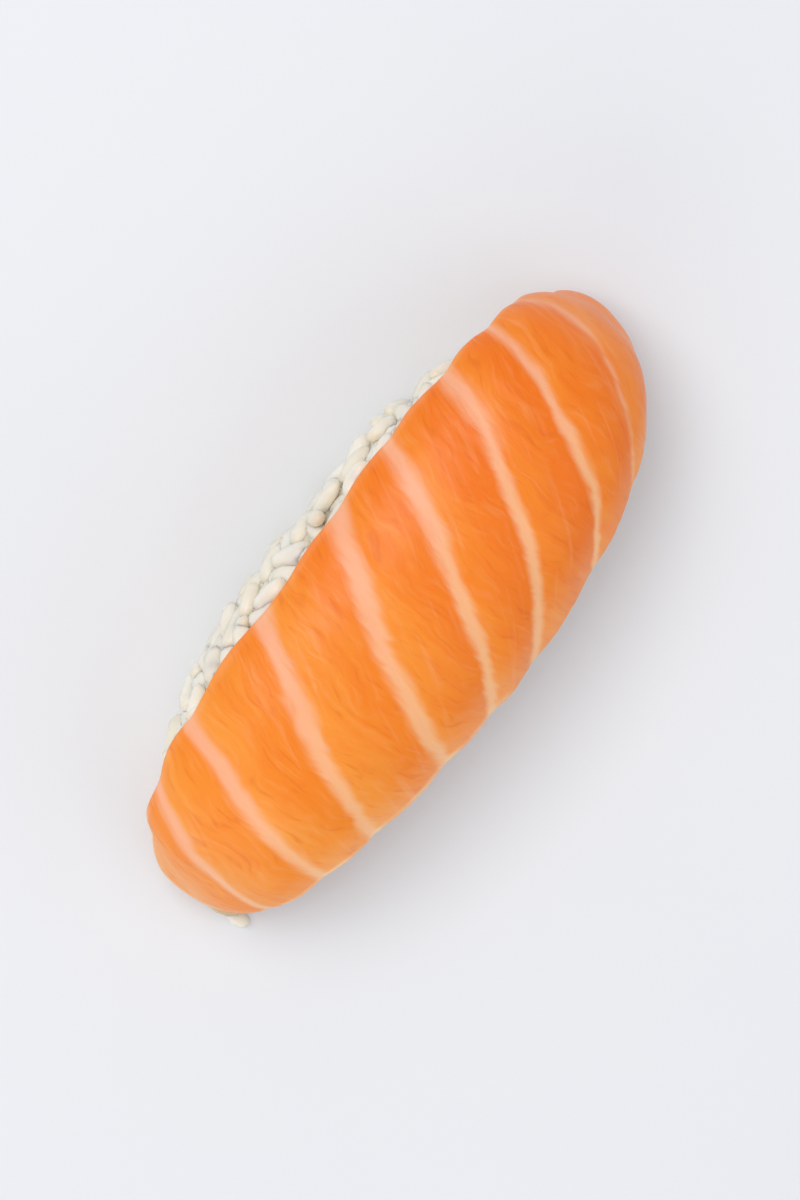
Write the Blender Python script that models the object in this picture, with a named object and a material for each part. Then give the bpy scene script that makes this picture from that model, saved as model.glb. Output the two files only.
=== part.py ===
"""Salmon nigiri: a pressed block of sushi rice with one slice of raw salmon draped over it.

Metres, +Z up. X runs along the piece, the rice stands on z = 0 and the origin is the middle of
the footprint. Two closed solids come out: rice_block, uneven with the grains on its outside, and
salmon_slice, which follows the block, hangs over both of its ends and stays a small gap clear.
"""

import math

import bmesh
import bpy
import numpy as np

MM = 0.001

# Rice block: a rounded loaf (a superellipsoid), turned a little and cut flat where it stands
RICE_CENTRE = np.array((1.0, 2.2, 7.6)) * MM
RICE_HALF_SIZE = np.array((31.3, 11.9, 11.4)) * MM
RICE_TURN = math.radians(-2.5)
RICE_PLAN_POWER = 2.6
RICE_RISE_POWER = 2.6

# Grains on the outside of the block, whose sizes vary by the spread. Each layer has how much
# deeper it lies, and how near a grain may come to those already there, as a share of a width
GRAIN_LENGTH = 5.2 * MM
GRAIN_WIDTH = 2.3 * MM
GRAIN_SPREAD = 0.1
GRAIN_LAYERS = ((0.0, 0.78), (0.3 * MM, 0.6), (0.6 * MM, 0.45))
GRAIN_BALLS = np.array((-0.6, 0, 0.6))
GRAIN_TRIES = 2500
GRAIN_SEED = 7
GRAIN_DEEPEST = 0.5 * MM
GRAIN_PROUDEST = 0.1 * MM
CREVICE_DEPTH = 0.9 * MM

# Slice: the crown line along its underside. Pairs are for the near end at -X and the far end
SLICE_CENTRE = np.array((1.5, 1.3)) * MM
SLICE_CROWN = 19.2 * MM
SLICE_ARCH_RADIUS = 88 * MM
SLICE_REACH = np.array((42.2, 38.7)) * MM
SHOULDER_START = np.array((23.5, 23.0)) * MM
SHOULDER_END = np.array((37.8, 34.1)) * MM
SHOULDER_BEND = np.radians((34.2, 44.0))
END_SLANT = np.array((0.4, 3.8)) * MM
END_ROUND = np.array((-0.2, 0.7)) * MM
END_SWERVE = np.array((-1.3, -1.9)) * MM

# Slice: across, from the crown line. Pairs are for the -Y and the +Y side
SLICE_HALF_WIDTH = np.array((14.5, 8.9)) * MM
NEAR_END_HALF_WIDTH = np.array((5.9, 4.3)) * MM
FAR_END_HALF_WIDTH = np.array((5.5, 5.0)) * MM
NEAR_TAPER_POWER = np.array((1.5, 3.0))
FAR_TAPER_POWER = np.array((2.3, 3.2))
CROSS_RADIUS = 19 * MM
CROSS_RADIUS_AT_ENDS = np.array((18.5, 14.0)) * MM
TIGHTENS_FROM = 0.375

# Slice: through its thickness, and its clearance from the rice
SLICE_THICKNESS = 4.7 * MM
SIDE_THINNING = 0.26
END_THINNING = 0.30
EDGE_BEVEL = 0.6 * MM
SLICE_GAP = 0.35 * MM
CLING_EASE = 0.7 * MM

# Fat lines: where each crosses the crown line, how it leans there, and how it bows away
FAT_LINES = np.array((-32.2, -24.5, -15.1, -3.2, 7.1, 16.5, 24.2, 30.4, 36.4)) * MM
FAT_LEANS = np.array((0.55, 0.42, 0.65, 0.74, 0.72, 0.71, 0.52, 0.36, 0.34))
FAT_BOWS = np.array((-2, 1, 9, 10, -7, -18, -17, -26, -26))  # per metre
BAND_SWELL = 0.2 * MM
EDGE_NICK = 0.16 * MM

# Mesh density, and the steps in which curves are summed
RICE_RINGS = 54
RICE_SIDES = 46
SLICE_STEPS_LONG = 54
SLICE_STEPS_WIDE = 16
CURVE_STEPS = 1200

RICE_COLOUR = (0.80, 0.76, 0.66, 1.0)
RICE_ROUGHNESS = 0.45
SALMON_COLOUR = (0.93, 0.29, 0.06, 1.0)
SALMON_ROUGHNESS = 0.35
SHARP_ANGLE = math.radians(50)


def to_rice(points):
    """Points in the block's own directions, from its centre."""
    c, s = math.cos(RICE_TURN), math.sin(RICE_TURN)
    return (points - RICE_CENTRE) @ np.array(((c, -s, 0), (s, c, 0), (0, 0, 1)))


def from_rice(points):
    """The reverse of to_rice."""
    c, s = math.cos(RICE_TURN), math.sin(RICE_TURN)
    return points @ np.array(((c, s, 0), (-s, c, 0), (0, 0, 1))) + RICE_CENTRE


def loaf_norm(points):
    """1 on the smooth outside of the block, less inside and more outside, in proportion."""
    x, y, z = np.abs(points / RICE_HALF_SIZE).T
    plan = (x**RICE_PLAN_POWER + y**RICE_PLAN_POWER) ** (RICE_RISE_POWER / RICE_PLAN_POWER)
    return (plan + z**RICE_RISE_POWER) ** (1 / RICE_RISE_POWER)


def loaf_slope(points):
    """The norm's gradient, by central differences."""
    step = 0.01 * MM
    return np.stack(
        [
            (loaf_norm(points + step * axis) - loaf_norm(points - step * axis)) / (2 * step)
            for axis in np.eye(3)
        ],
        axis=1,
    )


def unit(vectors):
    return vectors / np.linalg.norm(vectors, axis=1, keepdims=True)


def lay_grains():
    """Grains packed over the loaf in layers: centres, directions, half sizes, outward normals.

    Random places are tried in turn, and one is kept where it lies clear of the grains already
    there. For that, a grain counts as three balls along its length.
    """
    rng = np.random.default_rng(GRAIN_SEED)
    deeper, packing = np.repeat(GRAIN_LAYERS, GRAIN_TRIES, axis=0).T
    tries = len(deeper)
    places = unit(rng.normal(size=(tries, 3))) * RICE_HALF_SIZE
    places /= loaf_norm(places)[:, None]
    normals = unit(loaf_slope(places))
    along = unit(np.cross(normals, rng.normal(size=(tries, 3))))
    scale = 1 + GRAIN_SPREAD * rng.standard_normal((tries, 2)).clip(-2, 2)
    halves = scale * np.array((GRAIN_LENGTH, GRAIN_WIDTH)) / 2
    depths = halves[:, 1] + deeper + rng.uniform(0, GRAIN_DEEPEST, tries)
    centres = places - normals * depths[:, None]
    reaches = halves[:, :1] * GRAIN_BALLS
    balls = centres[:, None] + along[:, None] * reaches[:, :, None]
    kept = []
    for i in range(tries):
        spaces = np.linalg.norm(balls[kept][:, :, None] - balls[i], axis=-1)
        if not kept or spaces.min() > packing[i] * GRAIN_WIDTH:
            kept.append(i)
    return centres[kept], along[kept], halves[kept], normals[kept]


def grain_relief(places, normals):
    """How far the grains lift or sink each place on the loaf, along its normal."""
    relief = np.full(len(places), -CREVICE_DEPTH)
    for centre, along, (half_length, half_width), _ in zip(*lay_grains()):
        offset = places - centre
        height = (offset * normals).sum(axis=1)
        flat = offset - height[:, None] * normals
        lengthwise = flat @ along
        sideways = (flat**2).sum(axis=1) - lengthwise**2
        inside = 1 - (lengthwise / half_length) ** 2 - sideways / half_width**2
        over = (inside > 0) & (np.abs(height) < GRAIN_LENGTH)
        lift = half_width * np.sqrt(inside[over]) - height[over]
        relief[over] = np.maximum(relief[over], lift)
    return np.minimum(relief, GRAIN_PROUDEST)


def even_polar_angles(rings):
    """Polar angles whose rings stand equally far apart along the loaf's outline."""
    fine = np.linspace(0, np.pi, CURVE_STEPS + 1)
    outline = np.stack((np.cos(fine), 0 * fine, np.sin(fine)), axis=1) * RICE_HALF_SIZE
    outline /= loaf_norm(outline)[:, None]
    lengths = np.linalg.norm(np.diff(outline, axis=0), axis=1)
    travelled = np.concatenate(((0,), np.cumsum(lengths)))
    return np.interp(np.linspace(0, travelled[-1], rings + 1), travelled, fine)


def read_points(bm):
    return np.array([v.co for v in bm.verts])


def write_points(bm, points):
    for vert, point in zip(bm.verts, points):
        vert.co = point


def finish(bm, name, colour, roughness):
    """Turns bm into a named, smooth-shaded object with its own material."""
    mesh = bpy.data.meshes.new(name)
    bm.to_mesh(mesh)
    bm.free()
    mesh.shade_smooth()
    mesh.set_sharp_from_angle(angle=SHARP_ANGLE)
    material = bpy.data.materials.new(name)
    material.use_nodes = True
    surface = material.node_tree.nodes["Principled BSDF"]
    surface.inputs["Base Color"].default_value = colour
    surface.inputs["Roughness"].default_value = roughness
    mesh.materials.append(material)
    obj = bpy.data.objects.new(name, mesh)
    bpy.context.scene.collection.objects.link(obj)
    return obj


def make_rice_block():
    """A ball reshaped into the loaf, raised where grains lie, and cut flat at z = 0."""
    bm = bmesh.new()
    bmesh.ops.create_uvsphere(bm, u_segments=RICE_SIDES, v_segments=RICE_RINGS, radius=1)
    ball = read_points(bm)
    rings = np.rint(np.arccos(ball[:, 2].clip(-1, 1)) / np.pi * RICE_RINGS).astype(int)
    polar = even_polar_angles(RICE_RINGS)[rings]
    around = np.arctan2(ball[:, 1], ball[:, 0])
    directions = np.stack(
        (np.cos(polar), np.sin(polar) * np.cos(around), np.sin(polar) * np.sin(around)), axis=1
    )
    loaf = directions * RICE_HALF_SIZE
    loaf /= loaf_norm(loaf)[:, None]
    normals = unit(loaf_slope(loaf))
    write_points(bm, from_rice(loaf + normals * grain_relief(loaf, normals)[:, None]))
    cut = bmesh.ops.bisect_plane(
        bm,
        geom=bm.verts[:] + bm.edges[:] + bm.faces[:],
        plane_co=(0, 0, 0),
        plane_no=(0, 0, 1),
        clear_inner=True,
    )
    rim = [g for g in cut["geom_cut"] if isinstance(g, bmesh.types.BMEdge)]
    bmesh.ops.contextual_create(bm, geom=rim)
    bmesh.ops.recalc_face_normals(bm, faces=bm.faces)
    return finish(bm, "rice_block", RICE_COLOUR, RICE_ROUGHNESS)


def smooth_step(t):
    t = np.clip(t, 0, 1)
    return t * t * (3 - 2 * t)


def by_end(values, along):
    """The near end's value where along is negative, and the far end's where it isn't."""
    return np.where(along < 0, values[0], values[1])


def spine(along):
    """Place and slope of the slice's crown line at distances along it from its highest point.

    The slope is an even arch plus a bend over each shoulder, and the place is its sum.
    """
    furthest = SLICE_REACH.max() + END_SLANT.max()
    fine = np.linspace(-furthest, furthest, CURVE_STEPS + 1)
    bend = (np.abs(fine) - by_end(SHOULDER_START, fine)) / by_end(
        SHOULDER_END - SHOULDER_START, fine
    )
    slope = fine / SLICE_ARCH_RADIUS + np.sign(fine) * by_end(SHOULDER_BEND, fine) * smooth_step(bend)
    step = fine[1] - fine[0]
    run = np.concatenate(((0,), np.cumsum((np.cos(slope[1:]) + np.cos(slope[:-1])) / 2 * step)))
    drop = np.concatenate(((0,), np.cumsum((np.sin(slope[1:]) + np.sin(slope[:-1])) / 2 * step)))
    run -= np.interp(0, fine, run)
    drop -= np.interp(0, fine, drop)
    return (
        np.interp(along, fine, run),
        SLICE_CROWN - np.interp(along, fine, drop),
        np.interp(along, fine, slope),
    )


def flat_place(a, b):
    """Distances along and across the slice as it was cut, where a and b run from -1 to 1.

    Its outline tapers to both ends, and is nicked a little where each fat line meets it.
    """
    side = (b > 0).astype(int)
    end_width = np.where(a < 0, NEAR_END_HALF_WIDTH[side], FAR_END_HALF_WIDTH[side])
    power = np.where(a < 0, NEAR_TAPER_POWER[side], FAR_TAPER_POWER[side])
    full_width = SLICE_HALF_WIDTH[side]
    half_width = full_width - (full_width - end_width) * np.abs(a) ** power
    reach = by_end(SLICE_REACH, a) - by_end(END_ROUND, a) * b**2
    along = a * reach + by_end(END_SLANT, a) * b * a**2
    between = np.abs(np.sin(np.pi * fat_phase(along, b * half_width)))
    return along, b * (half_width - EDGE_NICK * (1 - between))


def fat_lines_at(across):
    """Where each fat line lies, one row to a line, at distances across from the crown line."""
    return FAT_LINES[:, None] + FAT_LEANS[:, None] * across + FAT_BOWS[:, None] * across**2


def fat_phase(along, across):
    """Rises by one from each fat line to the next: the line's number, counted from the near end.

    It is a sum of ramps, each of which rises from 0 at one line to 1 at the next.
    """
    lines = fat_lines_at(across)
    before = 2 * lines[:1] - lines[1:2]
    after = 2 * lines[-1:] - lines[-2:-1]
    lines = np.concatenate((before, lines, after))
    ramps = (along - lines[:-1]) / np.diff(lines, axis=0)
    return ramps.clip(0, 1).sum(axis=0) - 1


def thickness(a, b):
    """Full in the middle, thinner to the sides and ends, and swollen between fat lines.

    The swelling follows a rectified sine less its mean, so that the slice's weight stays.
    """
    thin = 1 - SIDE_THINNING * np.abs(b) ** 3 - END_THINNING * np.abs(a) ** 5
    swell = np.abs(np.sin(np.pi * fat_phase(*flat_place(a, b)))) - 2 / np.pi
    return SLICE_THICKNESS * thin + BAND_SWELL * swell


def drape(a, b):
    """The slice's underside: a circular arc across, carried along the crown line.

    The arc tightens towards the ends, and the crown line swerves a little sideways there.
    Wherever that would come nearer to the rice than the gap, it is pushed out along the loaf's
    own normal until it is clear: the first push is eased in, so that it leaves no crease.
    """
    along, across = flat_place(a, b)
    x, z, slope = spine(along)
    tightening = smooth_step((np.abs(a) - TIGHTENS_FROM) / (1 - TIGHTENS_FROM))
    radius = CROSS_RADIUS + (by_end(CROSS_RADIUS_AT_ENDS, a) - CROSS_RADIUS) * tightening
    sideways = radius * np.sin(across / radius)
    sag = radius * (1 - np.cos(across / radius))
    points = np.stack(
        (
            x - sag * np.sin(slope) + SLICE_CENTRE[0],
            sideways + SLICE_CENTRE[1] + by_end(END_SWERVE, a) * a**2,
            z - sag * np.cos(slope),
        ),
        axis=1,
    )
    for ease in (CLING_EASE, 0, 0, 0):
        local = to_rice(points)
        slopes = loaf_slope(local)
        steepness = np.linalg.norm(slopes, axis=1)
        clear = (loaf_norm(local) - 1) / steepness
        short = SLICE_GAP - clear
        push = (short + np.sqrt(short**2 + ease**2)) / 2
        points = from_rice(local + slopes * (push / steepness)[:, None])
    return points


def make_salmon_slice():
    """A grid draped over the rice, given its thickness upwards, with its cut edges eased."""
    bm = bmesh.new()
    bmesh.ops.create_grid(bm, x_segments=SLICE_STEPS_LONG, y_segments=SLICE_STEPS_WIDE, size=1)
    a, b, _ = read_points(bm).T
    write_points(bm, drape(a, b))
    depth = thickness(a, b)
    slice_ = finish(bm, "salmon_slice", SALMON_COLOUR, SALMON_ROUGHNESS)
    weights = slice_.vertex_groups.new(name="thickness")
    for index, share in enumerate(depth / depth.max()):
        weights.add((index,), share, "REPLACE")
    solidify = slice_.modifiers.new("thickness", "SOLIDIFY")
    solidify.thickness = depth.max()
    solidify.offset = 1
    solidify.vertex_group = weights.name
    bevel = slice_.modifiers.new("eased edges", "BEVEL")
    bevel.width = EDGE_BEVEL
    bevel.segments = 2
    bevel.angle_limit = SHARP_ANGLE
    return slice_


def main():
    for obj in list(bpy.data.objects):
        bpy.data.objects.remove(obj)
    make_rice_block()
    make_salmon_slice()


main()
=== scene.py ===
"""Salmon nigiri: a moist slice of raw salmon draped over sticky grains of sushi rice.

The slice is one closed surface on the same draped shape as its solid, and carries the places of
its fat lines as attributes. The rice is separate grains pressed round a starchy core. Lengths
are in metres, as in the frame, and patterns are in millimetres of the cut slice.
"""

import math

import bpy
import numpy as np
from mathutils import Matrix, Vector


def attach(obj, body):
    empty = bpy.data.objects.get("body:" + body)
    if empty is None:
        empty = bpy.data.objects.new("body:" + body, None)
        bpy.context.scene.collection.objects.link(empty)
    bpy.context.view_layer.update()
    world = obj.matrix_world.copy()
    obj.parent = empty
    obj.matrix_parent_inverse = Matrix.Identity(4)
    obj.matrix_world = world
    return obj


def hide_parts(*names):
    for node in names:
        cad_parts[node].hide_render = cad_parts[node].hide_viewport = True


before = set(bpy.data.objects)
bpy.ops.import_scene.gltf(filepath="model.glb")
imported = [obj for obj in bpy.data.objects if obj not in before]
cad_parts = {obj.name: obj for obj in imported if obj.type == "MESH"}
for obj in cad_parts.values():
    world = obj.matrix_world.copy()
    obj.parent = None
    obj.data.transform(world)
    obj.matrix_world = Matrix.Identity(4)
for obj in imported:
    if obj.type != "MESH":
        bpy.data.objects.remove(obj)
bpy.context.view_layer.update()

MM = 0.001

# Rice block: a rounded loaf (a superellipsoid), turned a little and cut flat where it stands
RICE_CENTRE = np.array((1.0, 2.2, 7.6)) * MM
RICE_HALF_SIZE = np.array((31.3, 11.9, 11.4)) * MM
RICE_TURN = math.radians(-2.5)
RICE_PLAN_POWER = 2.6
RICE_RISE_POWER = 2.6

# Grains on the outside of the block, whose sizes vary by the spread. Each layer has how much
# deeper it lies, and how near a grain may come to those already there, as a share of a width
GRAIN_LENGTH = 5.2 * MM
GRAIN_WIDTH = 2.3 * MM
GRAIN_SPREAD = 0.1
GRAIN_LAYERS = ((0.0, 0.78), (0.3 * MM, 0.6), (0.6 * MM, 0.45))
INNER_LAYERS = ((0.9 * MM, 0.66), (1.4 * MM, 0.55))
GRAIN_BALLS = np.array((-0.6, 0, 0.6))
GRAIN_TRIES = 2500
GRAIN_SEED = 7
GRAIN_DEEPEST = 0.5 * MM

# Grains whose middles lie below the lowest are left out, and none reaches below the foot
LOWEST_GRAIN = -0.6 * MM
GRAIN_FOOT = 0.02 * MM

# Each grain's own form: how blunt it is, how far it tips, tapers and bends, how flat it is
# pressed. A bend moves its tips one way and its middle the other, by the bow's share of it
GRAIN_FORM_SEED = 31
GRAIN_SIDES = 10
GRAIN_RINGS = 5
GRAIN_LENGTH_POWER = 0.9
GRAIN_WIDTH_POWER = 0.8
GRAIN_TIP = 0.2
GRAIN_TAPER = 0.1
GRAIN_MOST_TAPER = 0.3
GRAIN_BEND = 0.15 * MM
GRAIN_BOW = 3
GRAIN_BOW_MIDDLE = 0.4
GRAIN_FLATNESS = (0.76, 1.0)

# Core: how far in from the loaf it lies, and its lumps
CORE_ROWS = 60
CORE_COLUMNS = 90
CORE_INSET = 1.95 * MM
CORE_LUMP = 0.4 * MM
CORE_LUMPS_OVER = 2.4 * MM
CORE_LUMP_SEED = 41
CORE_FOOT = 0.01 * MM

# Two grains squeezed out under the slice's near tip: their middles, directions and half sizes,
# and how much painted shade, as a tan colour, each carries from the slice over it
TIP_GRAINS = np.array(((-37.4, -6.4, 0.8), (-37.0, -4.4, 1.1))) * MM
TIP_DIRECTIONS = np.array(((0.0, -1.0, 0.0), (0.17, -0.985, 0.0)))
TIP_HALF_SIZES = np.array(((1.8, 0.78), (2.3, 1.1))) * MM
TIP_PAINTED_SHADES = np.array((0.0, 1.0))

# Slice: the crown line along its underside. Pairs are for the near end at -X and the far end
SLICE_CENTRE = np.array((1.5, 1.3)) * MM
SLICE_CROWN = 19.2 * MM
SLICE_ARCH_RADIUS = 88 * MM
SLICE_REACH = np.array((42.2, 38.7)) * MM
SHOULDER_START = np.array((23.5, 23.0)) * MM
SHOULDER_END = np.array((37.8, 34.1)) * MM
SHOULDER_BEND = np.radians((34.2, 44.0))
END_SLANT = np.array((0.4, 3.8)) * MM
END_ROUND = np.array((-0.2, 0.7)) * MM
END_SWERVE = np.array((-1.3, -1.9)) * MM

# Slice: across, from the crown line. Pairs are for the -Y and the +Y side
SLICE_HALF_WIDTH = np.array((14.5, 8.9)) * MM
NEAR_END_HALF_WIDTH = np.array((5.9, 4.3)) * MM
FAR_END_HALF_WIDTH = np.array((5.5, 5.0)) * MM
NEAR_TAPER_POWER = np.array((1.5, 3.0))
FAR_TAPER_POWER = np.array((2.3, 3.2))
CROSS_RADIUS = 19 * MM
CROSS_RADIUS_AT_ENDS = np.array((18.5, 14.0)) * MM
TIGHTENS_FROM = 0.375

# Slice: through its thickness, and its clearance from the rice
SLICE_THICKNESS = 4.7 * MM
SIDE_THINNING = 0.26
SIDE_THINNING_POWER = 3
END_THINNING = 0.30
END_THINNING_POWER = 5
SLICE_GAP = 0.35 * MM
CLING_EASE = 0.7 * MM

# Fat lines: where each crosses the crown line, how it leans there and bows away, and how wide
# it is at the -Y and the +Y side
FAT_LINES = np.array((-32.2, -24.5, -15.1, -3.2, 7.1, 16.5, 24.2, 30.4, 36.4)) * MM
FAT_LEANS = np.array((0.55, 0.42, 0.65, 0.74, 0.72, 0.71, 0.52, 0.36, 0.34))
FAT_BOWS = np.array((-2, 1, 9, 10, -7, -18, -17, -26, -26))  # per metre
BAND_SWELL = 0.2 * MM
EDGE_NICK = 0.16 * MM
FAT_WIDTHS_LOW = np.array((1.5, 1.9, 2.3, 2.2, 1.8, 1.5, 1.2, 1.8, 1.2)) * MM
FAT_WIDTHS_HIGH = np.array((1.8, 2.1, 2.3, 2.5, 2.5, 2.1, 1.8, 2.5, 1.6)) * MM

# How faint each line is, added to the distance from its middle that is given in half widths
FAT_FAINTNESS = np.array((0.1, 0.0, 0.0, 0.0, 0.0, 0.0, 0.1, 0.6, 0.9))

# How steeply the widths change from side to side, how far each fat line wavers, over 4 mm and
# over 1.2 mm, the share by which it swells, and how far apart the lines lie in the noise
FAT_WIDENING = 1.1
WAVER = np.array((0.28, 0.10)) * MM
WAVER_OVER = np.array((4.0, 1.2)) * MM
WAVER_SEED = 51
FAT_SWELL = 0.22
SWELL_OVER = 3 * MM
SWELL_SEED = 52
LINES_APART = 7.5

# How the surface of the slice is finished: cut edges, which wander, grooves and fibres
EDGE_ROUNDING = 0.5 * MM
EDGE_POWER = 3.0
EDGE_STEPS = 12
EDGE_WANDER = 0.16 * MM
EDGE_WANDERS_OVER = 5 * MM
EDGE_SEED = 11
EDGE_ROWS = np.array((0.5, 10.0))
CELL = 0.25 * MM
GROOVE_SOFTNESS = 0.22
FIBRE_LEAN = 0.19
FIBRE_BOW = 0.03 / MM

# Relief of the muscle: the seed, the height in millimetres, and the lengths in millimetres
# across and along the fibres, of its ridges, its fine ridges and its dimples. The fibres
# themselves sway by up to a millimetre, with a seed and lengths of their own
RELIEF = ((22, 0.045, 0.85, 3.5), (23, 0.025, 0.5, 2), (24, 0.095, 3.2, 4))
FIBRE_SWAY = (21, 6, 5)

# Pale rim, a painted glow of light coming through the thin cut: a broken line on the top of the cut,
# and a soft margin along the -Y side. A pair says where a part of it begins, along the slice, and
# over what length it comes in
RIM_LINE = 0.55 * MM
RIM_LINE_SOFTNESS = 0.38 * MM
RIM_BREAKS_OVER = 1.6 * MM
RIM_SEED = 61
RIM_LOW_SIDE_OVER = 5 * MM
RIM_NEAR_PART = (8 * MM, 18 * MM)
RIM_TIP = (-28 * MM, 8 * MM)
MARGIN_STRENGTH = 0.25
MARGIN_WIDTH = 4.5 * MM

# How finely curves and slopes are worked out
CURVE_STEPS = 1200
EDGE_CURVE_STEPS = 400
LOAF_STEP = 0.01 * MM
DRAPE_STEP = 0.004

# Noise: how many random values it draws on, and how far apart neighbours lie among them
NOISE_VALUES = 8192
NOISE_STRIDES = (1, 173, 2971)


def smooth_step(t):
    """Eases from 0 to 1 with t, level at both: three times its square less twice its cube."""
    t = np.clip(t, 0, 1)
    return t * t * (3 - 2 * t)


def unit(vectors):
    """Vectors drawn to a length of 1."""
    return vectors / np.linalg.norm(vectors, axis=-1, keepdims=True)


def noise(seed, x, y, z=0.0):
    """Soft noise from -1 to 1: random values at whole numbers, eased from each to the next."""
    table = np.random.default_rng(seed).uniform(-1, 1, NOISE_VALUES)
    x, y, z = np.broadcast_arrays(x, y, z)
    cells = [np.floor(v).astype(np.int64) for v in (x, y, z)]
    shares = [smooth_step(v - c) for v, c in zip((x, y, z), cells)]
    total = 0
    for corner in np.ndindex(2, 2, 2):
        spot = sum((c + k) * p for c, k, p in zip(cells, corner, NOISE_STRIDES))
        weight = 1
        for share, k in zip(shares, corner):
            weight = weight * (share if k else 1 - share)
        total = total + weight * table[spot % NOISE_VALUES]
    return total


# ---------------------------------------------------------------- the loaf of rice


def to_rice(points):
    """Points in the block's own directions, from its centre."""
    c, s = math.cos(RICE_TURN), math.sin(RICE_TURN)
    return (points - RICE_CENTRE) @ np.array(((c, -s, 0), (s, c, 0), (0, 0, 1)))


def from_rice(points):
    """The reverse of to_rice."""
    c, s = math.cos(RICE_TURN), math.sin(RICE_TURN)
    return points @ np.array(((c, s, 0), (-s, c, 0), (0, 0, 1))) + RICE_CENTRE


def loaf_norm(points):
    """1 on the smooth outside of the block, less inside and more outside, in proportion."""
    x, y, z = np.abs(points / RICE_HALF_SIZE).T
    plan = (x**RICE_PLAN_POWER + y**RICE_PLAN_POWER) ** (RICE_RISE_POWER / RICE_PLAN_POWER)
    return (plan + z**RICE_RISE_POWER) ** (1 / RICE_RISE_POWER)


def loaf_slope(points):
    """The norm's gradient, by central differences."""
    steps = LOAF_STEP * np.eye(3)
    return np.stack(
        [(loaf_norm(points + s) - loaf_norm(points - s)) / (2 * LOAF_STEP) for s in steps], axis=1
    )


def lay_grains(seed, layers):
    """Grains packed over the loaf in layers: centres, directions, half sizes, outward normals.

    Random places are tried in turn, and one is kept where it lies clear of the grains already
    there. For that, a grain counts as three balls along its length.
    """
    rng = np.random.default_rng(seed)
    deeper, packing = np.repeat(layers, GRAIN_TRIES, axis=0).T
    tries = len(deeper)
    places = unit(rng.normal(size=(tries, 3))) * RICE_HALF_SIZE
    places /= loaf_norm(places)[:, None]
    normals = unit(loaf_slope(places))
    along = unit(np.cross(normals, rng.normal(size=(tries, 3))))
    scale = 1 + GRAIN_SPREAD * rng.standard_normal((tries, 2)).clip(-2, 2)
    halves = scale * np.array((GRAIN_LENGTH, GRAIN_WIDTH)) / 2
    depths = halves[:, 1] + deeper + rng.uniform(0, GRAIN_DEEPEST, tries)
    centres = places - normals * depths[:, None]
    reaches = halves[:, :1] * GRAIN_BALLS
    balls = centres[:, None] + along[:, None] * reaches[:, :, None]
    kept = []
    for i in range(tries):
        spaces = np.linalg.norm(balls[kept][:, :, None] - balls[i], axis=-1)
        if not kept or spaces.min() > packing[i] * GRAIN_WIDTH:
            kept.append(i)
    return centres[kept], along[kept], halves[kept], normals[kept]


# ---------------------------------------------------------------- the slice


def by_end(values, along):
    """The near end's value where along is negative, and the far end's where it isn't."""
    return np.where(along < 0, values[0], values[1])


def spine(along):
    """Place and slope of the slice's crown line at distances along it from its highest point.

    The slope is an even arch plus a bend over each shoulder, and the place is its sum.
    """
    furthest = SLICE_REACH.max() + END_SLANT.max()
    fine = np.linspace(-furthest, furthest, CURVE_STEPS + 1)
    bend = (np.abs(fine) - by_end(SHOULDER_START, fine)) / by_end(
        SHOULDER_END - SHOULDER_START, fine
    )
    slope = fine / SLICE_ARCH_RADIUS + np.sign(fine) * by_end(SHOULDER_BEND, fine) * smooth_step(bend)
    step = fine[1] - fine[0]
    run = np.concatenate(((0,), np.cumsum((np.cos(slope[1:]) + np.cos(slope[:-1])) / 2 * step)))
    drop = np.concatenate(((0,), np.cumsum((np.sin(slope[1:]) + np.sin(slope[:-1])) / 2 * step)))
    run -= np.interp(0, fine, run)
    drop -= np.interp(0, fine, drop)
    return (
        np.interp(along, fine, run),
        SLICE_CROWN - np.interp(along, fine, drop),
        np.interp(along, fine, slope),
    )


def fat_lines_at(across):
    """Where each fat line lies, one row to a line, at distances across from the crown line."""
    return FAT_LINES[:, None] + FAT_LEANS[:, None] * across + FAT_BOWS[:, None] * across**2


def fat_phase(along, across):
    """Rises by one from each fat line to the next: the line's number, counted from the near end.

    It is a sum of ramps, each of which rises from 0 at one line to 1 at the next.
    """
    lines = fat_lines_at(across)
    before = 2 * lines[:1] - lines[1:2]
    after = 2 * lines[-1:] - lines[-2:-1]
    lines = np.concatenate((before, lines, after))
    ramps = (along - lines[:-1]) / np.diff(lines, axis=0)
    return ramps.clip(0, 1).sum(axis=0) - 1


def between_lines(along, across):
    """0 on a fat line and 1 midway between two: a rectified sine, rounded where it meets 0."""
    wave = np.sin(np.pi * fat_phase(along, across))
    top = math.sqrt(1 + GROOVE_SOFTNESS**2) - GROOVE_SOFTNESS
    return (np.sqrt(wave**2 + GROOVE_SOFTNESS**2) - GROOVE_SOFTNESS) / top


def fat_gap(along, across):
    """Distance from the nearest fat line's middle, in half widths of that line.

    Each line wavers a little to either side on its way across, and swells and thins.
    """
    leans = FAT_LEANS[:, None] + 2 * FAT_BOWS[:, None] * across
    distances = (along - fat_lines_at(across)) / np.sqrt(1 + leans**2)
    height = smooth_step((across / SLICE_HALF_WIDTH.sum()) * FAT_WIDENING + 0.5)
    gaps = []
    widths = zip(distances, FAT_WIDTHS_LOW, FAT_WIDTHS_HIGH, FAT_FAINTNESS)
    for number, (distance, low, high, faintness) in enumerate(widths):
        row = number * LINES_APART
        waver = sum(w * noise(WAVER_SEED, across / over, row) for w, over in zip(WAVER, WAVER_OVER))
        swell = 1 + FAT_SWELL * noise(SWELL_SEED, across / SWELL_OVER, row)
        half_width = (low + (high - low) * height) / 2 * swell
        gaps.append(np.abs(distance - waver) / half_width + faintness)
    return np.min(gaps, axis=0)


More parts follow.
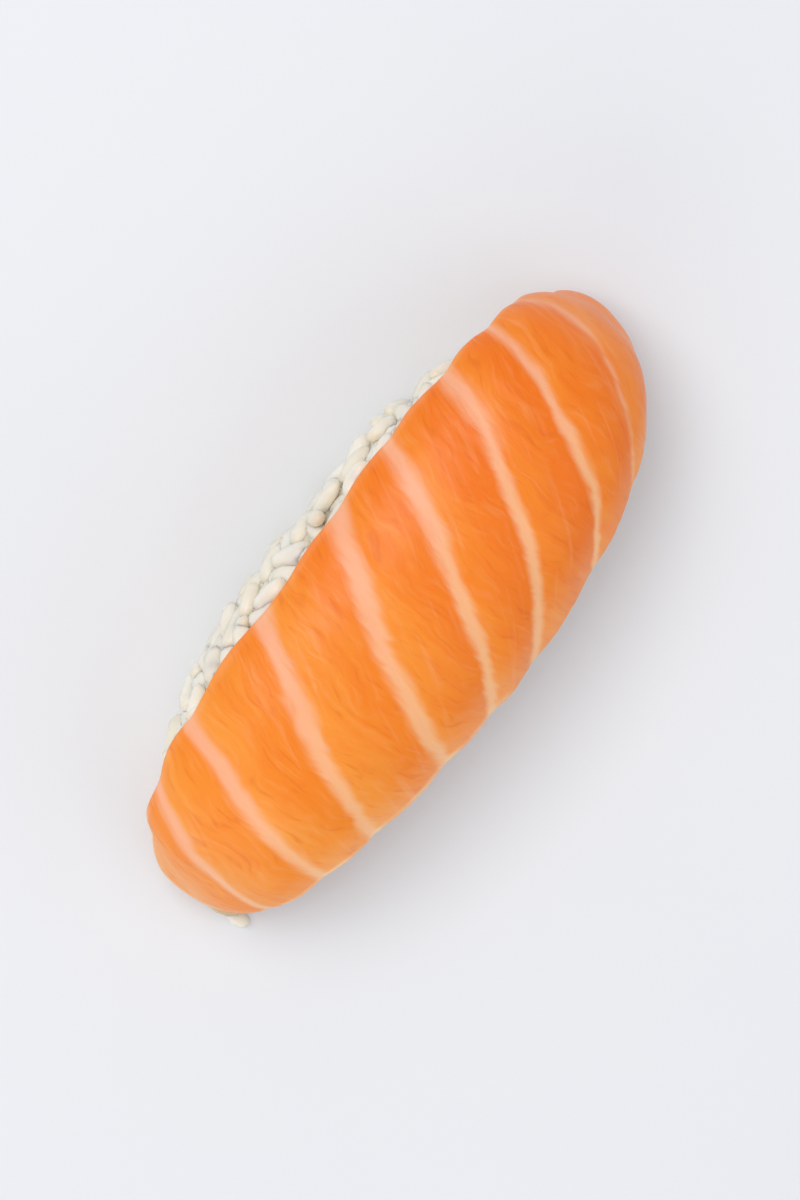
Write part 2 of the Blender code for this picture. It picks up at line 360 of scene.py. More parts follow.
def fibre_place(along, across):
    """Distances in millimetres across and along the muscle fibres, which lean and bow."""
    lean = FIBRE_LEAN + FIBRE_BOW * across / 2
    return (along - lean * across) / MM, across / MM


def flat_place(a, b):
    """Distances along and across the slice as it was cut, where a and b run from -1 to 1.

    Its outline tapers to both ends, wanders a little, and is nicked where each fat line meets it.
    """
    side = (b > 0).astype(int)
    end_width = np.where(a < 0, NEAR_END_HALF_WIDTH[side], FAR_END_HALF_WIDTH[side])
    power = np.where(a < 0, NEAR_TAPER_POWER[side], FAR_TAPER_POWER[side])
    full_width = SLICE_HALF_WIDTH[side]
    half_width = full_width - (full_width - end_width) * np.abs(a) ** power
    reach = by_end(SLICE_REACH, a) - by_end(END_ROUND, a) * b**2
    along = a * reach + by_end(END_SLANT, a) * b * a**2
    nick = EDGE_NICK * (1 - between_lines(along, b * half_width))
    wander = EDGE_WANDER * noise(EDGE_SEED, along / EDGE_WANDERS_OVER, EDGE_ROWS[side])
    return along, b * (half_width - nick + wander * b**2)


def thickness(a, b):
    """Full in the middle, thinner to the sides and ends, and swollen between fat lines."""
    side = SIDE_THINNING * np.abs(b) ** SIDE_THINNING_POWER
    thin = 1 - side - END_THINNING * np.abs(a) ** END_THINNING_POWER
    swell = between_lines(*flat_place(a, b)) - 2 / np.pi
    return SLICE_THICKNESS * thin + BAND_SWELL * swell


def drape(a, b):
    """The slice's underside: a circular arc across, carried along the crown line.

    The arc tightens towards the ends, and the crown line swerves a little sideways there.
    Wherever that would come nearer to the rice than the gap, it is pushed out along the loaf's
    own normal until it is clear: the first push is eased in, so that it leaves no crease.
    """
    along, across = flat_place(a, b)
    x, z, slope = spine(along)
    tightening = smooth_step((np.abs(a) - TIGHTENS_FROM) / (1 - TIGHTENS_FROM))
    radius = CROSS_RADIUS + (by_end(CROSS_RADIUS_AT_ENDS, a) - CROSS_RADIUS) * tightening
    sideways = radius * np.sin(across / radius)
    sag = radius * (1 - np.cos(across / radius))
    points = np.stack(
        (
            x - sag * np.sin(slope) + SLICE_CENTRE[0],
            sideways + SLICE_CENTRE[1] + by_end(END_SWERVE, a) * a**2,
            z - sag * np.cos(slope),
        ),
        axis=1,
    )
    for ease in (CLING_EASE, 0, 0, 0):
        local = to_rice(points)
        slopes = loaf_slope(local)
        steepness = np.linalg.norm(slopes, axis=1)
        clear = (loaf_norm(local) - 1) / steepness
        short = SLICE_GAP - clear
        push = (short + np.sqrt(short**2 + ease**2)) / 2
        points = from_rice(local + slopes * (push / steepness)[:, None])
    return points


def cut_edge(full):
    """Steps over one whole dimension, from -1 to 1, and each step's share of the half thickness.

    Near both ends the steps follow a superellipse quarter in even lengths: the share rises from
    0 on the edge's own line to 1 where the rounding ends.
    """
    angle = np.linspace(0, math.pi / 2, EDGE_CURVE_STEPS)
    inward = EDGE_ROUNDING * (1 - np.cos(angle) ** (2 / EDGE_POWER))
    share = np.sin(angle) ** (2 / EDGE_POWER)
    lengths = np.hypot(np.diff(inward), np.diff(share) * SLICE_THICKNESS / 2)
    travelled = np.concatenate(((0,), np.cumsum(lengths)))
    stops = np.linspace(0, travelled[-1], EDGE_STEPS + 1)
    inward = np.interp(stops, travelled, inward) / (full / 2)
    share = np.interp(stops, travelled, share)
    middle = round((full - 2 * EDGE_ROUNDING) / CELL)
    inner = np.linspace(inward[-1] - 1, 1 - inward[-1], middle + 1)[1:-1]
    steps = np.concatenate((inward - 1, inner, 1 - inward[::-1]))
    shares = np.concatenate((share, np.ones(len(inner)), share[::-1]))
    return steps, shares


def outward(a, b):
    """The underside's normals, by central differences over a small step in a and in b."""
    lengthwise = drape(a + DRAPE_STEP, b) - drape(a - DRAPE_STEP, b)
    sideways = drape(a, b + DRAPE_STEP) - drape(a, b - DRAPE_STEP)
    return unit(np.cross(lengthwise, sideways))


def fibre_relief(along, across):
    """Fine ridges of muscle, in metres: noise drawn out along the fibres, over soft dimples."""
    u, v = fibre_place(along, across)
    seed, wide, long = FIBRE_SWAY
    u = u + noise(seed, u / wide, v / long)
    return sum(height * noise(seed, u / wide, v / long) for seed, height, wide, long in RELIEF) * MM


def painted_rim_glow(from_edge, along, across):
    """How strongly the painted glow of light through the thin cut shows pale, from 0 to 1.

    A thin, broken line runs along the top of the edges: a bell curve of the distance from the
    edge, strongest at the near end and along the near part of the -Y side. A soft margin lies
    along that side, and fades out towards the near end.
    """
    line = np.exp(-(((from_edge - RIM_LINE) / RIM_LINE_SOFTNESS) ** 2))
    broken = 0.62 + 0.38 * noise(RIM_SEED, along / RIM_BREAKS_OVER, across / RIM_BREAKS_OVER)
    low_side = smooth_step(-across / RIM_LOW_SIDE_OVER)
    near_part, tip = (
        smooth_step((start - along) / over) for start, over in (RIM_NEAR_PART, RIM_TIP)
    )
    margin = MARGIN_STRENGTH * smooth_step(1 - from_edge / MARGIN_WIDTH) * low_side * (1 - tip)
    return np.maximum(line * broken * (0.2 + 0.8 * np.maximum(low_side * near_part, tip)), margin)


def grid_faces(low):
    """Four-cornered faces between neighbours in a table of point numbers."""
    return np.stack((low[:-1, :-1], low[1:, :-1], low[1:, 1:], low[:-1, 1:]), axis=-1).reshape(-1, 4)


def new_piece(name, points, faces, material):
    """A smooth-shaded piece whose place is in its mesh, riding on the only body."""
    mesh = bpy.data.meshes.new(name)
    mesh.from_pydata(points, [], faces)
    mesh.shade_smooth()
    mesh.materials.append(material)
    piece = bpy.data.objects.new(name, mesh)
    bpy.context.scene.collection.objects.link(piece)
    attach(piece, "root")
    return piece


def set_attribute(piece, name, values):
    """Stores one number, or one vector, at each point of a piece."""
    vector = values.ndim == 2
    kind = "FLOAT_VECTOR" if vector else "FLOAT"
    attribute = piece.data.attributes.new(name, kind, "POINT")
    attribute.data.foreach_set("vector" if vector else "value", values.astype(np.float32).ravel())


def make_slice(material):
    """Two sheets that share their rim: half the thickness below and above the slab's middle.

    A point stands over the draped underside, along its normal, by half the thickness times one
    plus (above) or minus (below) the edge's share, which is 0 all round the rim.
    """
    long_steps, long_shares = cut_edge(SLICE_REACH.sum())
    wide_steps, wide_shares = cut_edge(SLICE_HALF_WIDTH.sum())
    a, b = (v.ravel() for v in np.meshgrid(long_steps, wide_steps, indexing="ij"))
    share = np.outer(long_shares, wide_shares).ravel()
    rows, columns = len(long_steps), len(wide_steps)
    under = drape(a, b)
    normals = outward(a, b)
    along, across = flat_place(a, b)
    depth = thickness(a, b)
    above = depth / 2 * (1 + share) + share**2 * fibre_relief(along, across)
    below = depth / 2 * (1 - share)
    rim = share == 0
    inside = np.flatnonzero(~rim)
    upper = np.arange(rows * columns)
    lower = upper.copy()
    lower[inside] = rows * columns + np.arange(len(inside))
    heights = np.concatenate((above, below[inside]))
    flat = np.concatenate((upper, inside))
    points = under[flat] + normals[flat] * heights[:, None]
    faces = np.concatenate(
        (
            grid_faces(upper.reshape(rows, columns)),
            grid_faces(lower.reshape(rows, columns))[:, ::-1],
        )
    )
    piece = new_piece("salmon_flesh", points, faces, material)
    from_edge = np.minimum(
        (1 - np.abs(b)) * SLICE_HALF_WIDTH.sum() / 2, (1 - np.abs(a)) * SLICE_REACH.sum() / 2
    )
    # Painted glow of light through the thin cut, on the top sheet only
    rim_glow = painted_rim_glow(from_edge, along, across)[flat]
    rim_glow[rows * columns :] = 0
    u, v = fibre_place(along[flat], across[flat])
    beside_fat = fat_phase(along[flat], across[flat]) * np.diff(FAT_LINES).mean() / MM
    set_attribute(piece, "flesh", np.stack((along[flat], across[flat], heights), axis=1) / MM)
    set_attribute(piece, "fibre", np.stack((u, v, heights / MM), axis=1))
    set_attribute(piece, "beside_fat", np.stack((beside_fat, v, heights / MM), axis=1))
    set_attribute(piece, "band", fat_phase(along, across)[flat])
    set_attribute(piece, "fat_gap", fat_gap(along, across)[flat])
    set_attribute(piece, "rim", rim_glow)
    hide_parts("salmon_slice")


# ---------------------------------------------------------------- the rice


def grain_form():
    """One grain, 1 long and 1 wide each way from its centre: rings on a blunt ellipse, two tips."""
    polar = np.linspace(0, math.pi, GRAIN_RINGS + 2)[1:-1]
    around = np.arange(GRAIN_SIDES) * 2 * math.pi / GRAIN_SIDES
    length = -np.sign(np.cos(polar)) * np.abs(np.cos(polar)) ** GRAIN_LENGTH_POWER
    width = np.sin(polar) ** GRAIN_WIDTH_POWER
    points = np.stack(
        (
            np.repeat(length, GRAIN_SIDES),
            np.outer(width, np.cos(around)).ravel(),
            np.outer(width, np.sin(around)).ravel(),
        ),
        axis=1,
    )
    points = np.concatenate((points, ((-1, 0, 0), (1, 0, 0))))
    table = np.arange(GRAIN_RINGS * GRAIN_SIDES).reshape(GRAIN_RINGS, GRAIN_SIDES)
    closed = np.concatenate((table, table[:, :1]), axis=1)
    quads = [tuple(q[::-1]) for q in grid_faces(closed)]
    first, last = len(points) - 2, len(points) - 1
    start = [(first, closed[0, i + 1], closed[0, i]) for i in range(GRAIN_SIDES)]
    end = [(last, closed[-1, i], closed[-1, i + 1]) for i in range(GRAIN_SIDES)]
    return points, quads + start + end


def place_grains(rng, centres, along, halves, normals):
    """Every grain's points: the one form, sized, tapered, bent like a bow, tipped and laid.

    A point that would come under the surface the rice stands on is pressed up onto it.
    """
    form, faces = grain_form()
    count = len(centres)
    tip = rng.normal(0, GRAIN_TIP, (count, 1))
    side = unit(np.cross(normals, along))
    along = along * np.cos(tip) + normals * np.sin(tip)
    above = np.cross(along, side)
    bend = rng.normal(0, GRAIN_BEND, (count, 1))
    flat = rng.uniform(*GRAIN_FLATNESS, (count, 1))
    x, y, z = form.T
    taper = rng.normal(0, GRAIN_TAPER, (count, 1)).clip(-GRAIN_MOST_TAPER, GRAIN_MOST_TAPER)
    taper = 1 + taper * x
    lengthwise = halves[:, :1] * x
    sideways = halves[:, 1:] * y * taper + GRAIN_BOW * bend * (x**2 - GRAIN_BOW_MIDDLE)
    upwards = halves[:, 1:] * z * taper * flat
    points = (
        centres[:, None]
        + along[:, None] * lengthwise[..., None]
        + side[:, None] * sideways[..., None]
        + above[:, None] * upwards[..., None]
    )
    numbered = [
        tuple(int(v) + k * len(form) for v in face) for k in range(count) for face in faces
    ]
    points = from_rice(points.reshape(-1, 3))
    points[:, 2] = np.maximum(points[:, 2], GRAIN_FOOT)
    return points, numbered, np.repeat(rng.uniform(0, 1, count), len(form)), np.tile(x, count)


def tip_grains():
    """The two grains under the near tip, in the block's own directions, as lay_grains gives them."""
    centres = to_rice(TIP_GRAINS)
    along = to_rice(TIP_GRAINS + TIP_DIRECTIONS) - centres
    return centres, along, TIP_HALF_SIZES, np.full((2, 3), (0.0, 0.0, 1.0))


def make_grains(material):
    """The layers of grains over the core, and the two at the near tip, all in one piece."""
    rng = np.random.default_rng(GRAIN_FORM_SEED)
    groups = (
        lay_grains(GRAIN_SEED, GRAIN_LAYERS),
        lay_grains(GRAIN_SEED + 1, INNER_LAYERS),
        tip_grains(),
    )
    laid = [np.concatenate(parts) for parts in zip(*groups)]
    standing = from_rice(laid[0])[:, 2] > LOWEST_GRAIN
    points, faces, tint, lengthwise = place_grains(rng, *(part[standing] for part in laid))
    piece = new_piece("rice_grains", points, faces, material)
    # The grain under the slice's tip gets painted shade, as a tan colour
    painted_shades = np.zeros(np.count_nonzero(standing))
    painted_shades[-len(TIP_PAINTED_SHADES) :] = TIP_PAINTED_SHADES
    set_attribute(piece, "tint", tint)
    set_attribute(piece, "painted_shade", np.repeat(painted_shades, len(points) // len(painted_shades)))
    set_attribute(piece, "lengthwise", lengthwise)
    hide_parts("rice_block")


def make_core(material):
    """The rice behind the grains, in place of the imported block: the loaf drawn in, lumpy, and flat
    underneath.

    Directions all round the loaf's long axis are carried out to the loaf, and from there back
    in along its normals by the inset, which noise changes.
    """
    polar = np.linspace(0, math.pi, CORE_ROWS)[1:-1]
    around = np.arange(CORE_COLUMNS) * 2 * math.pi / CORE_COLUMNS
    directions = np.stack(
        (
            np.repeat(-np.cos(polar), CORE_COLUMNS),
            np.outer(np.sin(polar), np.cos(around)).ravel(),
            np.outer(np.sin(polar), np.sin(around)).ravel(),
        ),
        axis=1,
    )
    directions = np.concatenate((directions, ((-1, 0, 0), (1, 0, 0)))) * RICE_HALF_SIZE
    loaf = directions / loaf_norm(directions)[:, None]
    inset = CORE_INSET + CORE_LUMP * noise(CORE_LUMP_SEED, *(loaf.T / CORE_LUMPS_OVER))
    points = from_rice(loaf - unit(loaf_slope(loaf)) * inset[:, None])
    points[:, 2] = np.maximum(points[:, 2], CORE_FOOT)
    table = np.arange(len(polar) * CORE_COLUMNS).reshape(len(polar), CORE_COLUMNS)
    closed = np.concatenate((table, table[:, :1]), axis=1)
    quads = [tuple(q[::-1]) for q in grid_faces(closed).tolist()]
    first, last = len(points) - 2, len(points) - 1
    start = [(first, int(closed[0, i + 1]), int(closed[0, i])) for i in range(CORE_COLUMNS)]
    end = [(last, int(closed[-1, i]), int(closed[-1, i + 1])) for i in range(CORE_COLUMNS)]
    piece = new_piece("rice_core", points, quads + start + end, material)
    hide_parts("rice_block")


# ---------------------------------------------------------------- materials


def colour(code):
    """An sRGB hex colour as linear red, green, blue and alpha."""
    parts = [int(code[i : i + 2], 16) / 255 for i in (1, 3, 5)]
    return tuple(p / 12.92 if p <= 0.04045 else ((p + 0.055) / 1.055) ** 2.4 for p in parts) + (1.0,)


def add_node(tree, kind, inputs=None, **settings):
    """Adds one node: its settings by name, and its inputs as constants or as links."""
    made = tree.nodes.new(kind)
    for field, value in settings.items():
        setattr(made, field, value)
    for socket, value in (inputs or {}).items():
        if isinstance(value, bpy.types.NodeSocket):
            tree.links.new(value, made.inputs[socket])
        else:
            made.inputs[socket].default_value = value
    return made


def new_material(name):
    """An empty material, its node tree, and its output node."""
    material = bpy.data.materials.new(name)
    material.use_nodes = True
    tree = material.node_tree
    tree.nodes.clear()
    return material, tree, tree.nodes.new("ShaderNodeOutputMaterial")


def raw_salmon():
    """Raw farmed salmon, sliced with a wet knife: soft orange muscle, pale fat, a moist satin film.

    Each band of muscle is lightest just past a fat line and deepest before the next. Light goes
    a millimetre or two into the flesh, most of all red light.
    """
    material, tree, output = new_material("raw_salmon_flesh")
    flesh, fibre, beside_fat = (
        add_node(tree, "ShaderNodeAttribute", attribute_name=name).outputs["Vector"]
        for name in ("flesh", "fibre", "beside_fat")
    )
    band, gap, rim = (
        add_node(tree, "ShaderNodeAttribute", attribute_name=name).outputs["Fac"]
        for name in ("band", "fat_gap", "rim")
    )
    place = add_node(tree, "ShaderNodeSeparateXYZ", {0: flesh})

    # Sway: soft noise over 6 mm that bends the fibres by up to a millimetre or so
    sway = add_node(
        tree, "ShaderNodeTexNoise", {"Vector": flesh, "Scale": 0.16, "Detail": 2.0}
    ).outputs["Color"]
    swayed = add_node(
        tree,
        "ShaderNodeVectorMath",
        {0: sway, 1: (4.5, 0.0, 0.0), 2: fibre},
        operation="MULTIPLY_ADD",
    ).outputs["Vector"]

    # Fibres: noise drawn out along them, 0.6 mm across and 2.8 mm long
    thread = add_node(
        tree,
        "ShaderNodeMapping",
        {"Vector": swayed, "Scale": (0.6, 2.8, 1.6)},
        vector_type="TEXTURE",
    ).outputs["Vector"]
    threads = add_node(
        tree,
        "ShaderNodeTexNoise",
        {"Vector": thread, "Scale": 1.0, "Detail": 2.0, "Roughness": 0.5, "Distortion": 0.5},
    ).outputs["Fac"]

    # Bundles of fibres: 1.1 mm across and 5 mm long
    bundle = add_node(
        tree,
        "ShaderNodeMapping",
        {"Vector": swayed, "Scale": (1.1, 5.0, 3.0)},
        vector_type="TEXTURE",
    ).outputs["Vector"]
    bundles = add_node(
        tree, "ShaderNodeTexNoise", {"Vector": bundle, "Scale": 1.0, "Detail": 1.0}
    ).outputs["Fac"]

    # Muscle: paler and yellower at the near end, deeper across each band, cloudy over 8 mm
    clouds = add_node(
        tree, "ShaderNodeTexNoise", {"Vector": flesh, "Scale": 0.13, "Detail": 2.0}
    ).outputs["Fac"]
    across_band = add_node(tree, "ShaderNodeMath", {0: band}, operation="FRACT").outputs["Value"]
    depth = add_node(
        tree, "ShaderNodeMath", {0: clouds, 1: 1.1, 2: across_band}, operation="MULTIPLY_ADD"
    ).outputs["Value"]
    depth = add_node(
        tree, "ShaderNodeMath", {0: bundles, 1: 0.9, 2: depth}, operation="MULTIPLY_ADD"
    ).outputs["Value"]
    depth = add_node(
        tree,
        "ShaderNodeMapRange",
        {"Value": depth, 1: 0.85, 2: 1.95, 3: 0.0, 4: 1.0},
        interpolation_type="SMOOTHSTEP",
    ).outputs["Result"]
    far = add_node(
        tree, "ShaderNodeMapRange", {"Value": place.outputs["X"], 1: -32.0, 2: 16.0, 3: 0.0, 4: 1.0}
    ).outputs["Result"]
    light = add_node(
        tree,
        "ShaderNodeMix",
        {"Factor": far, 6: colour("#FD9F3C"), 7: colour("#FB8D1F")},
        data_type="RGBA",
    ).outputs[2]
    deep = add_node(
        tree,
        "ShaderNodeMix",
        {"Factor": far, 6: colour("#F98C1A"), 7: colour("#F67806")},
        data_type="RGBA",
    ).outputs[2]
    muscle = add_node(
        tree, "ShaderNodeMix", {"Factor": depth, 6: light, 7: deep}, data_type="RGBA"
    ).outputs[2]

    # Single threads: some pale with fat, some dark where they part, their darkness partly painted
    # shade in the creases between them
    pale_thread = add_node(
        tree,
        "ShaderNodeMapRange",
        {"Value": threads, 1: 0.52, 2: 0.8, 3: 0.0, 4: 0.17},
        interpolation_type="SMOOTHSTEP",
    ).outputs["Result"]
    muscle = add_node(
        tree,
        "ShaderNodeMix",
        {"Factor": pale_thread, 6: muscle, 7: colour("#FFBC84")},
        data_type="RGBA",
    ).outputs[2]
    dark_thread_and_shade = add_node(
        tree,
        "ShaderNodeMapRange",
        {"Value": threads, 1: 0.46, 2: 0.24, 3: 0.0, 4: 0.42},
        interpolation_type="SMOOTHSTEP",
    ).outputs["Result"]
    muscle = add_node(
        tree,
        "ShaderNodeMix",
        {"Factor": dark_thread_and_shade, 6: muscle, 7: colour("#E2670F")},
        data_type="RGBA",
    ).outputs[2]

    # Stray fat: faint thin lines beside the main ones, 0.8 mm across and 7 mm long
    stray = add_node(
        tree,
        "ShaderNodeMapping",
        {"Vector": beside_fat, "Scale": (0.8, 7.0, 6.0)},
        vector_type="TEXTURE",
    ).outputs["Vector"]
    strays = add_node(
        tree, "ShaderNodeTexNoise", {"Vector": stray, "Scale": 1.0, "Detail": 2.0}
    ).outputs["Fac"]
    strays = add_node(
        tree,
        "ShaderNodeMapRange",
        {"Value": strays, 1: 0.56, 2: 0.8, 3: 0.0, 4: 0.2},
        interpolation_type="SMOOTHSTEP",
    ).outputs["Result"]
    muscle = add_node(
        tree,
        "ShaderNodeMix",
        {"Factor": strays, 6: muscle, 7: colour("#FFB98C")},
        data_type="RGBA",
    ).outputs[2]

    # Fat: full in the middle of a line, feathered by the fibres, hazier and pinker towards +Y
    haze = add_node(
        tree,
        "ShaderNodeMapRange",
        {"Value": place.outputs["Y"], 1: -9.0, 2: 7.0, 3: 0.0, 4: 1.0},
        interpolation_type="SMOOTHSTEP",
    ).outputs["Result"]
    feather = add_node(
        tree, "ShaderNodeMath", {0: threads, 1: 0.9, 2: gap}, operation="MULTIPLY_ADD"
    ).outputs["Value"]
    feather = add_node(
        tree, "ShaderNodeMath", {0: bundles, 1: 0.7, 2: feather}, operation="MULTIPLY_ADD"
    ).outputs["Value"]
    outside = add_node(
        tree, "ShaderNodeMapRange", {"Value": haze, 1: 0.0, 2: 1.0, 3: 2.0, 4: 2.15}
    ).outputs["Result"]
    fullest = add_node(
        tree, "ShaderNodeMapRange", {"Value": haze, 1: 0.0, 2: 1.0, 3: 0.85, 4: 0.95}
    ).outputs["Result"]
    fat = add_node(
        tree,
        "ShaderNodeMapRange",
        {"Value": feather, 1: 0.95, 2: outside, 3: fullest, 4: 0.0},
        interpolation_type="SMOOTHSTEP",
    ).outputs["Result"]
    tallow = add_node(
        tree,
        "ShaderNodeMix",
        {"Factor": haze, 6: colour("#FEC08C"), 7: colour("#FDB28A")},
        data_type="RGBA",
    ).outputs[2]
    surface = add_node(
        tree, "ShaderNodeMix", {"Factor": fat, 6: muscle, 7: tallow}, data_type="RGBA"
    ).outputs[2]

    # Far end: pinkish over the last centimetre and a half, partly a film of fat and partly a painted
    # sheen of reflected light
    film_and_sheen = add_node(
        tree,
        "ShaderNodeMapRange",
        {"Value": place.outputs["X"], 1: 26.0, 2: 41.0, 3: 0.0, 4: 0.4},
        interpolation_type="SMOOTHSTEP",
    ).outputs["Result"]
    surface = add_node(
        tree,
        "ShaderNodeMix",
        {"Factor": film_and_sheen, 6: surface, 7: colour("#FF9C74")},
        data_type="RGBA",
    ).outputs[2]

    # Rim: a painted glow, for light coming through where the flesh is thin at the top of the cut
    pale = add_node(tree, "ShaderNodeMath", {0: rim, 1: 0.8}, operation="MULTIPLY").outputs["Value"]
    surface = add_node(
        tree,
        "ShaderNodeMix",
        {"Factor": pale, 6: surface, 7: colour("#FFDAB0")},
        data_type="RGBA",
    ).outputs[2]

    # Moisture: smoother where it pools, over grain a third of a millimetre fine
    grain = add_node(
        tree, "ShaderNodeTexNoise", {"Vector": flesh, "Scale": 2.6, "Detail": 2.0}
    ).outputs["Fac"]
    satin = add_node(
        tree, "ShaderNodeMapRange", {"Value": clouds, 1: 0.3, 2: 0.7, 3: 0.34, 4: 0.5}
    ).outputs["Result"]
    low_bump = add_node(
        tree, "ShaderNodeBump", {"Height": threads, "Strength": 0.6, "Distance": 0.12 * MM}
    ).outputs["Normal"]
    bump = add_node(
        tree,
        "ShaderNodeBump",
        {"Height": grain, "Strength": 0.3, "Distance": 0.08 * MM, "Normal": low_bump},
    ).outputs["Normal"]
    shader = add_node(
        tree,
        "ShaderNodeBsdfPrincipled",
        {
            "Base Color": surface,
            "Roughness": satin,
            "Normal": bump,
            "IOR": 1.38,
            "Subsurface Weight": 0.3,
            "Subsurface Radius": (1.0, 0.4, 0.12),
            "Subsurface Scale": 1.2 * MM,
            "Coat Weight": 0.15,
            "Coat Roughness": 0.18,
            "Coat IOR": 1.33,
        },
    ).outputs["BSDF"]
    tree.links.new(shader, output.inputs["Surface"])
    return material


def cooked_rice(name, base, tip):
    """Cooked short-grain rice: pearly starch, a little clearer at the tips, and sticky.

    Each grain has its own tint, under clouds 2 mm wide and a starchy roughness of 0.6 mm. One
    grain, under the slice's tip, carries painted shade as a tan colour.
    """
    material, tree, output = new_material(name)
    place = add_node(tree, "ShaderNodeTexCoord").outputs["Object"]
    tint = add_node(tree, "ShaderNodeAttribute", attribute_name="tint").outputs["Fac"]
    lengthwise = add_node(tree, "ShaderNodeAttribute", attribute_name="lengthwise").outputs["Fac"]
    cloud = add_node(
        tree, "ShaderNodeTexNoise", {"Vector": place, "Scale": 450.0, "Detail": 3.0}
    ).outputs["Fac"]
    own = add_node(
        tree, "ShaderNodeMath", {0: tint, 1: 0.5, 2: cloud}, operation="MULTIPLY_ADD"
    ).outputs["Value"]
    own = add_node(
        tree, "ShaderNodeMapRange", {"Value": own, 1: 0.35, 2: 1.15, 3: 0.0, 4: 1.0}
    ).outputs["Result"]
    body = add_node(
        tree,
        "ShaderNodeMix",
        {"Factor": own, 6: colour(base), 7: colour("#FAF4E8")},
        data_type="RGBA",
    ).outputs[2]
    painted_shade = add_node(tree, "ShaderNodeAttribute", attribute_name="painted_shade").outputs["Fac"]
    # Painted shade: the grain under the slice's tip is mixed towards tan
    body = add_node(
        tree, "ShaderNodeMix", {"Factor": painted_shade, 6: body, 7: colour("#D8B488")}, data_type="RGBA"
    ).outputs[2]
    toward_tip = add_node(
        tree, "ShaderNodeMath", {0: lengthwise}, operation="ABSOLUTE"
    ).outputs["Value"]
    clear = add_node(
        tree,
        "ShaderNodeMapRange",
        {"Value": toward_tip, 1: 0.55, 2: 1.0, 3: 0.0, 4: 0.45},
        interpolation_type="SMOOTHSTEP",
    ).outputs["Result"]
    surface = add_node(
        tree,
        "ShaderNodeMix",
        {"Factor": clear, 6: body, 7: colour(tip)},
        data_type="RGBA",
    ).outputs[2]
    starch = add_node(
        tree, "ShaderNodeTexNoise", {"Vector": place, "Scale": 1600.0, "Detail": 2.0}
    ).outputs["Fac"]
    sticky = add_node(
        tree, "ShaderNodeMapRange", {"Value": cloud, 1: 0.3, 2: 0.7, 3: 0.32, 4: 0.46}
    ).outputs["Result"]
    bump = add_node(
        tree, "ShaderNodeBump", {"Height": starch, "Strength": 0.3, "Distance": 0.1 * MM}
    ).outputs["Normal"]
    shader = add_node(
        tree,
        "ShaderNodeBsdfPrincipled",
        {
            "Base Color": surface,
            "Roughness": sticky,
            "Normal": bump,
            "IOR": 1.45,
            "Subsurface Weight": 0.6,
            "Subsurface Radius": (1.0, 0.92, 0.78),
            "Subsurface Scale": 1.0 * MM,
            "Coat Weight": 0.25,
            "Coat Roughness": 0.2,
        },
    ).outputs["BSDF"]
    tree.links.new(shader, output.inputs["Surface"])
    return material


def pale_board():
    """A plain, matt, near-white painted board, very slightly mottled over 7 cm."""
    material, tree, output = new_material("painted_board")
    place = add_node(tree, "ShaderNodeTexCoord").outputs["Object"]
    mottle = add_node(
        tree, "ShaderNodeTexNoise", {"Vector": place, "Scale": 14.0, "Detail": 4.0}
    ).outputs["Fac"]
    surface = add_node(
        tree,
        "ShaderNodeMix",
        {"Factor": mottle, 6: colour("#E6E8EC"), 7: colour("#ECEDF0")},
        data_type="RGBA",
    ).outputs[2]
    shader = add_node(
        tree, "ShaderNodeBsdfPrincipled", {"Base Color": surface, "Roughness": 0.6}
    ).outputs["BSDF"]
    tree.links.new(shader, output.inputs["Surface"])
    return material


# ---------------------------------------------------------------- floor, light and camera

# Directions on the floor, as the view shows them
VIEW_RIGHT = Vector((0.589, -0.808, 0))
VIEW_UP = Vector((0.808, 0.589, 0))

FLOOR_HALF_SIZE = 1.5
SURROUND_TONE = (0.93, 0.96, 1.0, 1.0)
SURROUND_STRENGTH = 0.56

# Lights: metres to the view's right, up the view and above the floor, size, watts and tone
LIGHTS = {
    "window": (-0.26, 0.28, 0.82, 0.6, 3.9, (1.0, 0.985, 0.96)),
    "fill": (0.8, -0.2, 0.7, 1.0, 1.4, (0.95, 0.97, 1.0)),
    "low_fill": (-0.25, -0.55, 0.22, 0.5, 0.9, (1.0, 0.98, 0.95)),
}

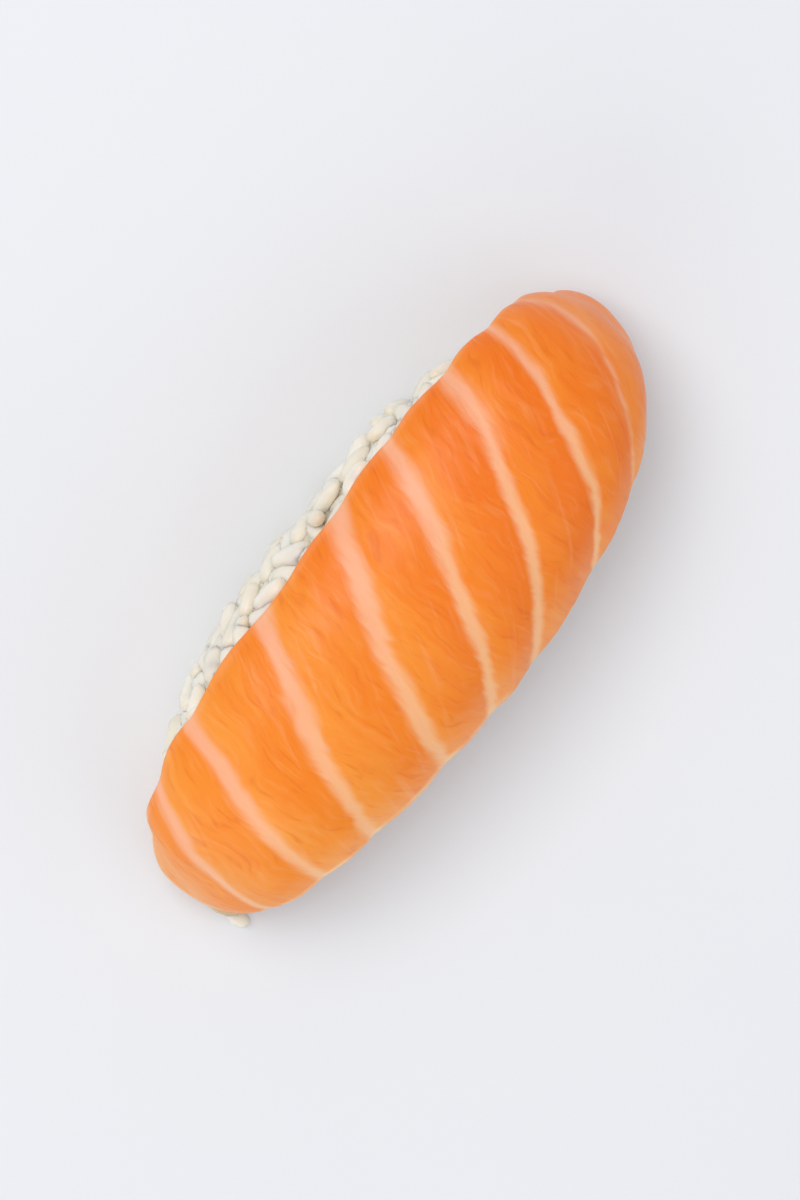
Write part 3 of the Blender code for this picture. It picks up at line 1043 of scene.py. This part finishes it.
# Camera: where it stands, what it looks at, and its lens in millimetres
CAMERA_PLACE = Vector((59.5, 57.6, 580)) * MM
CAMERA_TARGET = Vector((1.0, 0.3, 11)) * MM
CAMERA_LENS = 168


def make_floor():
    """A level square at the height that the rice stands on."""
    half = FLOOR_HALF_SIZE
    corners = [(-half, -half, 0), (half, -half, 0), (half, half, 0), (-half, half, 0)]
    mesh = bpy.data.meshes.new("floor")
    mesh.from_pydata(corners, [], [(0, 1, 2, 3)])
    mesh.materials.append(pale_board())
    floor = bpy.data.objects.new("floor", mesh)
    bpy.context.scene.collection.objects.link(floor)


def add_light(name, place, size, power, tone):
    """A square soft light that faces the object."""
    data = bpy.data.lights.new(name, "AREA")
    data.size = size
    data.energy = power
    data.color = tone
    light = bpy.data.objects.new(name, data)
    light.location = place
    light.rotation_euler = (-Vector(place)).to_track_quat("-Z", "Y").to_euler()
    bpy.context.scene.collection.objects.link(light)


def light_scene():
    """A big window to the upper left, weak fills to the right and low down, an even surround."""
    scene = bpy.context.scene
    scene.view_settings.view_transform = "Standard"
    world = bpy.data.worlds.new("soft_room")
    world.use_nodes = True
    surround = world.node_tree.nodes["Background"]
    surround.inputs["Color"].default_value = SURROUND_TONE
    surround.inputs["Strength"].default_value = SURROUND_STRENGTH
    scene.world = world
    for name, (right, up, height, size, power, tone) in LIGHTS.items():
        place = VIEW_RIGHT * right + VIEW_UP * up
        add_light(name, (place.x, place.y, height), size, power, tone)


def make_camera():
    """A long lens, a little to the far side of straight above, turned so that the piece slants."""
    data = bpy.data.cameras.new("camera")
    camera = bpy.data.objects.new("camera", data)
    data.lens = CAMERA_LENS
    back = (CAMERA_PLACE - CAMERA_TARGET).normalized()
    right = VIEW_UP.cross(back).normalized()
    up = back.cross(right)
    turn = Matrix((right, up, back)).transposed().to_4x4()
    camera.matrix_world = Matrix.Translation(CAMERA_PLACE) @ turn
    bpy.context.scene.collection.objects.link(camera)
    bpy.context.scene.camera = camera


make_camera()
make_slice(raw_salmon())
make_grains(cooked_rice("cooked_rice_grains", "#EEE4D1", "#E0D2B6"))
make_core(cooked_rice("cooked_rice_core", "#DDD1BA", "#DDD1BA"))
make_floor()
light_scene()
